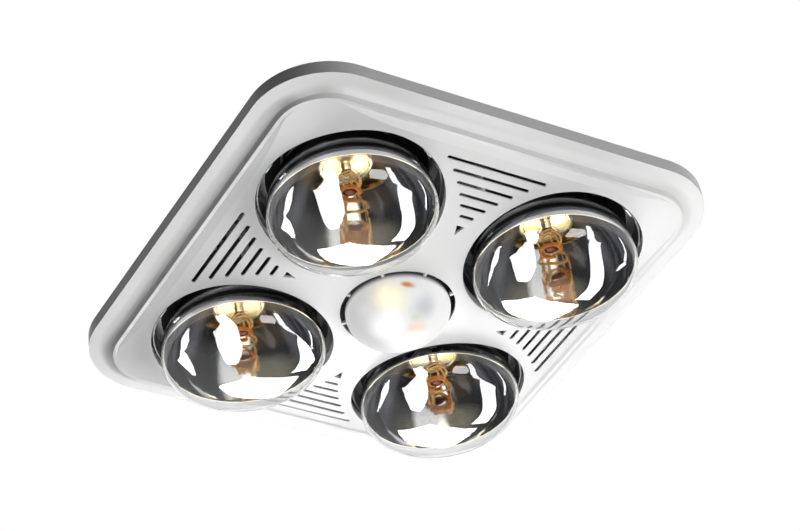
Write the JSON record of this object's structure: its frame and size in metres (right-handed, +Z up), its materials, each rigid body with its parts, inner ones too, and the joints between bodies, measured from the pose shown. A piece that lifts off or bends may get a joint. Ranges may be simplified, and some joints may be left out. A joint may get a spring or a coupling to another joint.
{
  "type": "bathroom ceiling heater",
  "caption": "Square domed ceiling heater with reflector heat lamps, a centre light, slotted vents, a blower box and a duct outlet.",
  "frame": {"origin": "middle of the four flange screw holes, on the flange's upper face, which is the ceiling plane", "axes": "+Z up into the ceiling; the facia faces -Z; +X towards the duct outlet; +Y completes the right hand"},
  "size_m": [0.4025, 0.375, 0.2587],
  "materials": {
    "facia_white": "glossy",
    "rubber_black": "matte",
    "galvanised": "satin",
    "shield_black": "satin",
    "spring_steel": "satin",
    "lamp_glass": "polished",
    "lamp_mirror": "mirror",
    "cap_brass": "satin",
    "filament": "polished",
    "pearl_glass": "frosted",
    "porcelain": "glossy",
    "bracket_steel": "satin",
    "scroll_plastic": "matte",
    "impeller_plastic": "matte",
    "motor_paint": "satin",
    "end_cap_metal": "satin",
    "core_steel": "satin",
    "copper_wire": "glossy",
    "rotor_metal": "satin",
    "shaft_steel": "polished",
    "bearing_bronze": "satin",
    "spigot_plastic": "matte",
    "flap_plastic": "matte",
    "box_plastic": "matte",
    "cover_plastic": "matte",
    "block_plastic": "satin",
    "gland_plastic": "matte",
    "capacitor_plastic": "satin",
    "cutout_plastic": "satin",
    "loom_sleeve": "matte",
    "lead_sleeve": "matte",
    "clip_plastic": "matte",
    "screw_steel": "satin",
    "rivet_aluminium": "satin"
  },
  "bodies": {
    "housing": {"facia_grommets": "rubber_black", "housing": "galvanised", "ceiling_flange": "galvanised", "top_plate": "galvanised", "heat_shield": "shield_black", "lamp_wells": "shield_black", "well_clips": "spring_steel", "centre_bracket": "bracket_steel", "centre_lampholder": "porcelain", "blower_scroll": "scroll_plastic", "motor_case": "motor_paint", "motor_end_cap": "end_cap_metal", "motor_stator": "core_steel", "motor_windings": "copper_wire", "motor_bearings": "bearing_bronze", "duct_spigot": "spigot_plastic", "terminal_box": "box_plastic", "terminal_block": "block_plastic", "cable_gland": "gland_plastic", "run_capacitor": "capacitor_plastic", "thermal_cutout": "cutout_plastic", "lamp_loom": "loom_sleeve", "loom_clips": "clip_plastic", "motor_lead": "lead_sleeve", "screws": "screw_steel", "rivets": "rivet_aluminium", "holder_bracket_1": "bracket_steel", "lampholder_1": "porcelain", "holder_bracket_2": "bracket_steel", "lampholder_2": "porcelain", "holder_bracket_3": "bracket_steel", "lampholder_3": "porcelain", "holder_bracket_4": "bracket_steel", "lampholder_4": "porcelain"},
    "facia": {"facia": "facia_white"},
    "centre_lamp": {"centre_lamp_glass": "pearl_glass", "centre_lamp_cap": "cap_brass", "centre_lamp_filament": "filament"},
    "rotor": {"impeller": "impeller_plastic", "motor_shaft": "shaft_steel", "motor_rotor": "rotor_metal"},
    "damper": {"damper_flap": "flap_plastic", "damper_pin": "shaft_steel"},
    "cover": {"terminal_cover": "cover_plastic"},
    "lamp_1": {"heat_lamp_1_glass": "lamp_glass", "heat_lamp_1_reflector": "lamp_mirror", "heat_lamp_1_cap": "cap_brass", "heat_lamp_1_filament": "filament"},
    "lamp_2": {"heat_lamp_2_glass": "lamp_glass", "heat_lamp_2_reflector": "lamp_mirror", "heat_lamp_2_cap": "cap_brass", "heat_lamp_2_filament": "filament"},
    "lamp_3": {"heat_lamp_3_glass": "lamp_glass", "heat_lamp_3_reflector": "lamp_mirror", "heat_lamp_3_cap": "cap_brass", "heat_lamp_3_filament": "filament"},
    "lamp_4": {"heat_lamp_4_glass": "lamp_glass", "heat_lamp_4_reflector": "lamp_mirror", "heat_lamp_4_cap": "cap_brass", "heat_lamp_4_filament": "filament"}
  },
  "joints": [
    {"name": "facia_pull", "type": "slide", "parent": "housing", "child": "facia", "axis": [0, 0, -1], "range_m": [0, 0.12]},
    {"name": "lamp_1_unscrew", "type": "slide", "parent": "housing", "child": "lamp_1", "axis": [0, 0, -1], "range_m": [0, 0.03]},
    {"name": "lamp_2_unscrew", "type": "slide", "parent": "housing", "child": "lamp_2", "axis": [0, 0, -1], "range_m": [0, 0.03]},
    {"name": "lamp_3_unscrew", "type": "slide", "parent": "housing", "child": "lamp_3", "axis": [0, 0, -1], "range_m": [0, 0.03]},
    {"name": "lamp_4_unscrew", "type": "slide", "parent": "housing", "child": "lamp_4", "axis": [0, 0, -1], "range_m": [0, 0.03]},
    {"name": "centre_lamp_unscrew", "type": "slide", "parent": "housing", "child": "centre_lamp", "axis": [0, 0, -1], "range_m": [0, 0.03]},
    {"name": "impeller_spin", "type": "hinge", "parent": "housing", "child": "rotor", "pos_m": [-0.012, -0.016, 0.117], "axis": [0, 0, 1], "continuous": true},
    {"name": "damper_swing", "type": "hinge", "parent": "housing", "child": "damper", "pos_m": [0.182, 0.035, 0.113], "axis": [0, -1, 0], "range_deg": [0, 75]},
    {"name": "cover_swing", "type": "hinge", "parent": "housing", "child": "cover", "pos_m": [0.088, -0.138, 0.1832], "axis": [1, 0, 0], "range_deg": [0, 110]}
  ]
}
